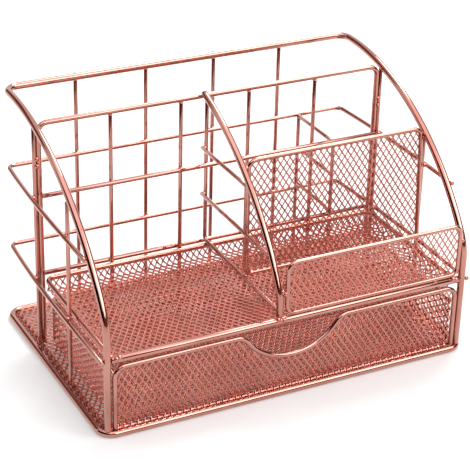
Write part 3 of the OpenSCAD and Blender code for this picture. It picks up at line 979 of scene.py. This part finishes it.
@dataclass
class PenPanel(SubAssembly):
    """Mesh panel across the tray in a bent wire whose right leg slants outwards.

    Leg welds lie so far beyond the top of the right leg, so high.
    """

    foot_corner: float = 3.5
    corner: float = 5.0
    slant: float = 2.33
    cut: float = 2.0
    top_weld: float = 4.0
    leg_welds: tuple[Pair, ...] = ((1.2, 85.0), (2.2, 60.0))

    def build(self) -> None:
        """Build the wire with its bottom run, and the mesh."""
        box, bottom = Box.of("pen_frame"), Box.of("pen_bottom_wire")
        radius, low, high = box.wire(1)
        foot_corner, corner = self.foot_corner * MM, self.corner * MM
        slant = math.radians(self.slant)
        foot_z, y = box.low[2], box.middle[1]
        z = bottom.middle[2]
        drop = high[2] - corner - foot_z
        bend_x = high[0] - drop * math.tan(slant) - corner / math.cos(slant)
        leg_z = high[2] - corner + corner * math.sin(slant)
        route = Route((bottom.high[0], z), 180).run(bottom.high[0] - low[0] - foot_corner)
        route.turn(foot_corner, -90).run(high[2] - corner - z - foot_corner).turn(corner, -90)
        route.run(bend_x - low[0] - corner).turn(corner, self.slant - 90)
        route.run((leg_z - foot_z) / math.cos(slant))
        self.add_wire("pen_frame", route, Plane.UPRIGHT, radius, also=("pen_bottom_wire",))
        leg_top = bend_x + corner
        leg_low = leg_top + (high[2] - z) * math.tan(slant)
        cut = self.cut * MM
        outline = np.array([
            (low[0] + cut, z), (leg_low, z), (leg_top, high[2] - cut), (leg_top - cut, high[2]),
            (low[0] + cut, high[2]), (low[0], high[2] - cut), (low[0], z + cut)])
        self.add_sheet("pen_panel_sheet", ("pen_mesh",), outline, Plane.UPRIGHT, box.middle,
                       self.metal, [])
        post = Box.of("front_side_post_right")
        spots = [(low[0] - radius, y, high[2] - self.top_weld * MM), (low[0], y, z - radius)]
        spots += [(leg_top + x * MM, post.low[1], z * MM) for x, z in self.leg_welds]
        self.add_welds("pen_panel_welds", spots)


@dataclass
class Partition(SubAssembly):
    """Short wire ladder across the file slot."""

    bead_shape: Triple = (0.9, 0.6, 0.9)

    def build(self) -> None:
        """Build the posts and rods."""
        rods = ("partition_rod_top", "partition_rod_middle", "partition_rod_bottom")
        for node in ("partition_back_post", "partition_mid_post", *rods):
            self.add_straight(node)
        ends = [(box.middle[0], y, box.middle[2]) for box in map(Box.of, rods)
                for y in (box.low[1], box.high[1])]
        self.add_welds("partition_welds", ends)


@dataclass
class BinPanel(SubAssembly):
    """Low mesh panel in front of the small bin.

    A left weld lies above the lower left corner, a right weld below the upper right one,
    and foot welds lie inwards from the lower corners.
    """

    corner: float = 5.0
    cut: float = 2.2
    left_weld: float = 12.0
    right_weld: float = 9.0
    foot_welds: Pair = (15.0, 14.0)

    def build(self) -> None:
        """Build the loop and its mesh."""
        box = Box.of("bin_frame")
        radius, low, high = box.wire(1)
        y, low, high = box.middle[1], low[[0, 2]], high[[0, 2]]
        route = loop_route(low, high, self.corner * MM)
        self.add_wire("bin_frame", route, Plane.UPRIGHT, radius)
        cut = self.cut * MM
        (x0, z0), (x1, z1) = low, high
        outline = np.array([(x0 + cut, z0), (x1 - cut, z0), (x1, z0 + cut), (x1, z1 - cut),
                            (x1 - cut, z1), (x0 + cut, z1), (x0, z1 - cut), (x0, z0 + cut)])
        self.add_sheet("bin_panel_sheet", ("bin_mesh",), outline, Plane.UPRIGHT, box.middle,
                       self.metal, [])
        left_foot, right_foot = self.foot_welds
        spots = [(x0 - radius, y, z0 + self.left_weld * MM),
                 (x0 + left_foot * MM, y, box.low[2]), (x1 - right_foot * MM, y, box.low[2]),
                 (x1 + radius, y, z1 - self.right_weld * MM)]
        self.add_welds("bin_panel_welds", spots)


@dataclass
class Drawer(SubAssembly):
    """Folded mesh drawer with a framed front that dips in the middle.

    The dip is an arc whose lowest point is dip_low high, between two round shoulders.
    """

    body: Body = Body.DRAWER
    corner: float = 6.0
    shoulder: float = 8.0
    dip: float = 32.8
    dip_low: float = 23.3
    rim_corner: float = 5.0
    cut: float = 2.4
    fold: float = 2.2
    front_fold: float = 3.5
    front_end: float = 0.5
    weld_back: float = 0.6
    pan_metal: ExpandedMetal = ExpandedMetal(strand=1.0)

    def front_route(self, low: ndarray, high: ndarray) -> tuple[Route, float]:
        """Follow the front's wire from its left foot over the top, through the dip.

        Args:
            low: Left foot of the wire's middle line.
            high: Upper right corner of the wire's middle line.
        Returns:
            The open route and the dip's half width.
        """
        corner, shoulder, dip = self.corner * MM, self.shoulder * MM, self.dip * MM
        drop = self.dip_low * MM + dip - high[1] + shoulder
        slope = math.asin(drop / (dip + shoulder))
        half = (dip + shoulder) * math.cos(slope)
        turn = 90 - math.degrees(slope)
        run, rise = (high[0] - low[0]) / 2 - corner - half, high[1] - corner - low[1]
        route = Route((low[0], low[1]), 90).run(rise).turn(corner, -90).run(run)
        route.turn(shoulder, -turn).turn(dip, 2 * turn).turn(shoulder, -turn)
        return route.run(run).turn(corner, -90).run(rise), half

    def build(self) -> None:
        """Build the front, the rim and the folded sheet."""
        box, base = Box.of("drawer_front_frame"), Box.of("drawer_floor_mesh").middle
        radius, low, high = box.wire(1)
        low, high = np.array([low[0], box.low[2]]), high[[0, 2]]
        route, half = self.front_route(low, high)
        y = box.middle[1]
        self.add_wire("drawer_front_frame", route, Plane.UPRIGHT, radius)
        flat = np.concatenate(route.points)[::-1]
        dip = flat[np.abs(flat[:, 0]) <= half + CUT_TOLERANCE]
        cut, fold = self.cut * MM, self.front_fold * MM
        bottom = base[2] + fold * (1 - math.pi / 2) - self.front_end * MM
        outline = np.concatenate([
            [(low[0], bottom), (high[0], bottom), (high[0], high[1] - cut),
             (high[0] - cut, high[1])], dip,
            [(low[0] + cut, high[1]), (low[0], high[1] - cut)]])
        self.add_sheet("drawer_front_sheet", ("drawer_front_mesh",), outline, Plane.UPRIGHT,
                       box.middle, self.metal, [Fold(1, -1, base[2] + fold, fold, -1)])
        self.add_level_u("drawer_rim_wire", self.rim_corner)
        rim = Box.of("drawer_rim_wire")
        front_y, fold = y + fold, self.fold * MM
        _, low, high = rim.wire(2)
        wall = fold * math.pi / 2 + rim.middle[2] - base[2] - fold
        start = np.array([low[0] + fold, y + self.metal.thickness * MM])
        end = high[:2] - fold
        outline = plus_outline(start, end, wall, start[1] - front_y)
        left, right, _, back = folds_around(start, end, fold)
        nodes = tuple(f"drawer_{part}_mesh" for part in ("floor", "left", "right", "back"))
        self.add_sheet("drawer_sheet", nodes, outline, Plane.LEVEL, base, self.pan_metal,
                       [left, right, back])
        spots = [(side * high[0], rim.low[1] + self.weld_back * MM, rim.middle[2])
                 for side in (-1, 1)]
        self.add_welds("drawer_welds", spots)


# ---- Studio ----


@dataclass(frozen=True)
class Lamp:
    """A soft white area lamp that looks at the middle of the stand."""

    name: str
    place: Triple
    size: Pair
    power: float


@dataclass(frozen=True)
class Card:
    """A plain card that the metal reflects, out of the camera's sight."""

    name: str
    place: Triple
    size: Pair
    colour: str
    strength: float


def add_plane(name: str, size: Pair, matrix: Matrix, material: Material) -> Object:
    """Add a flat rectangle that is part of the studio.

    Args:
        name: Name of the object.
        size: Its width and depth.
        matrix: Place of its middle, with the rectangle in its XY plane.
        material: Material of the rectangle.
    Returns:
        The object, with its place in its mesh.
    """
    corners = np.array([(-1, -1, 0), (1, -1, 0), (1, 1, 0), (-1, 1, 0)]) / 2
    placed = np.array(matrix)
    vertices = corners * (*size, 0) @ placed[:3, :3].T + placed[:3, 3]
    mesh = new_mesh(name, (vertices, [np.arange(4)[None]]))
    mesh.materials.append(material)
    thing = new_object(name, mesh)
    return thing


@dataclass
class Studio:
    """Camera, pale floor, white surroundings, soft lamps and cards.

    The camera's axes stand at the photograph's viewing angle. Shadows on the floor keep
    the share floor_shadow for the camera and mirrored_shadow in the metal's reflections.
    """

    eye: Triple = (-0.37614, -0.72388, 0.48011)
    right: Triple = (0.89249, -0.45041, 0.02448)
    up: Triple = (0.1866, 0.41808, 0.88904)
    ahead: Triple = (0.41066, 0.78889, -0.45718)
    lens: float = 127.76
    sensor: float = 36.0
    clip_end: float = 20.0
    world: float = 1.0
    fill: float = 1.1
    floor_size: Pair = (12.0, 12.0)
    floor_colour: str = "#F2F2F2"
    floor_shadow: float = 0.85
    mirrored_shadow: float = 0.6
    target: Triple = (0.0, 0.0, 0.06)
    lamps: tuple[Lamp, ...] = (
        Lamp("overhead_lamp", (0.55, 0.45, 1.15), (0.5, 0.4), 9.0),
        Lamp("side_lamp", (0.8, -0.8, 0.9), (0.5, 0.5), 5.0),
    )
    cards: tuple[Card, ...] = (
        Card("soft_card", (0.05, -0.3, 1.2), (1.9, 1.3), "#FAEEF4", 2.2),
        Card("bright_card", (0.45, -0.75, 0.8), (1.3, 0.6), "#FFF6F8", 5.5),
        Card("warm_card", (0.0, -1.5, 0.55), (3.0, 0.8), "#B5705A", 0.5),
        Card("dark_card", (-1.1, -0.3, 0.5), (1.6, 0.95), "#200C08", 0.05),
        Card("right_card", (1.2, -0.1, 0.3), (1.6, 0.7), "#9A6254", 0.4),
        Card("back_card", (-0.9, 1.4, 0.95), (1.4, 1.3), "#B88478", 0.5),
    )

    def facing(self, place: Triple) -> Matrix:
        """Stand a thing at a place with its -Z axis towards the target.

        Args:
            place: Place of the thing, not straight above the target.
        Returns:
            Its matrix.
        """
        back = np.array(place) - np.array(self.target)
        back /= np.linalg.norm(back)
        side = np.cross((0, 0, 1), back)
        side /= np.linalg.norm(side)
        matrix = np.eye(4)
        matrix[:3] = np.column_stack([side, np.cross(back, side), back, place])
        return Matrix(matrix.tolist())

    def build(self) -> None:
        """Set the whole studio up."""
        self.add_camera()
        self.add_world()
        self.add_floor()
        for lamp in self.lamps:
            self.add_lamp(lamp)
        for card in self.cards:
            self.add_card(card)
        bpy.context.scene.view_settings.view_transform = "Standard"

    def add_camera(self) -> None:
        """Put the camera at the photograph's viewing angle."""
        data = bpy.data.cameras.new("camera")
        data.lens, data.sensor_width, data.sensor_fit = self.lens, self.sensor, "HORIZONTAL"
        data.clip_end = self.clip_end
        camera = new_object("camera", data)
        matrix = np.eye(4)
        matrix[:3] = np.column_stack([self.right, self.up, -np.array(self.ahead), self.eye])
        camera.matrix_world = Matrix(matrix.tolist())
        bpy.context.scene.camera = camera

    def seen_ray(self, tree: NodeTree, seen: float = 1.0,
                 mirrored: float = 1.0) -> NodeSocket:
        """Mark the rays from the camera and those that metal or glass sends on.

        Args:
            tree: Node tree of the world or of a material.
            seen: Value for rays from the camera.
            mirrored: Value for reflected and transmitted rays.
        Returns:
            The socket, which is zero for all other rays.
        """
        path = add_node(tree, "LightPath")
        sent_on = add_node(tree, "Math", {
            0: path.outputs["Is Glossy Ray"], 1: path.outputs["Is Transmission Ray"]},
            operation="ADD", use_clamp=True)
        sent_on = add_node(tree, "Math", {0: sent_on.outputs[0], 1: mirrored},
                           operation="MULTIPLY")
        marked = add_node(tree, "Math", {
            0: path.outputs["Is Camera Ray"], 1: seen, 2: sent_on.outputs[0]},
            operation="MULTIPLY_ADD", use_clamp=True)
        return marked.outputs[0]

    def add_world(self) -> None:
        """White surroundings for the camera and reflections, and fill light for the floor."""
        world = bpy.data.worlds.new("studio")
        bpy.context.scene.world = world
        world.use_nodes = True
        tree = world.node_tree
        tree.nodes.clear()
        strength = add_node(tree, "MapRange", {
            "Value": self.seen_ray(tree), "To Min": self.fill, "To Max": self.world})
        light = add_node(tree, "Background", {
            "Color": WHITE, "Strength": strength.outputs["Result"]})
        add_node(tree, "OutputWorld", {"Surface": light.outputs["Background"]})

    def add_floor(self) -> None:
        """Lay a wide pale floor whose shadows are partly washed out."""
        material, tree = new_material("pale_floor")
        shader = add_node(tree, "BsdfDiffuse", {"Color": linear(self.floor_colour)})
        glow = add_node(tree, "Emission", {"Color": WHITE})
        share = self.seen_ray(tree, 1 - self.floor_shadow, 1 - self.mirrored_shadow)
        shader = add_node(tree, "MixShader", {
            0: share, 1: shader.outputs["BSDF"], 2: glow.outputs["Emission"]})
        add_node(tree, "OutputMaterial", {"Surface": shader.outputs["Shader"]})
        add_plane("floor", self.floor_size, Matrix.Identity(4), material)

    def add_lamp(self, lamp: Lamp) -> None:
        """Hang one soft lamp.

        Args:
            lamp: The lamp.
        """
        data = bpy.data.lights.new(lamp.name, "AREA")
        data.shape = "RECTANGLE"
        data.size, data.size_y = lamp.size
        data.energy = lamp.power
        new_object(lamp.name, data).matrix_world = self.facing(lamp.place)

    def add_card(self, card: Card) -> None:
        """Stand one glowing or dark card.

        Args:
            card: The card.
        """
        material, tree = new_material(card.name)
        glow = add_node(tree, "Emission", {
            "Color": linear(card.colour), "Strength": card.strength})
        add_node(tree, "OutputMaterial", {"Surface": glow.outputs["Emission"]})
        thing = add_plane(card.name, card.size, self.facing(card.place), material)
        thing.visible_camera = thing.visible_diffuse = thing.visible_shadow = False


def main() -> None:
    """Build the studio and every sub-assembly."""
    logging.basicConfig(level=logging.INFO, format="%(name)s %(message)s")
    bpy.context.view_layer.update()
    Studio().build()
    for group in (Base(), Hoop(), MiddleFrame(), Tray(), Divider(), PenPanel(), Partition(),
                  BinPanel(), Drawer()):
        group.build()


if __name__ == "__main__":
    main()
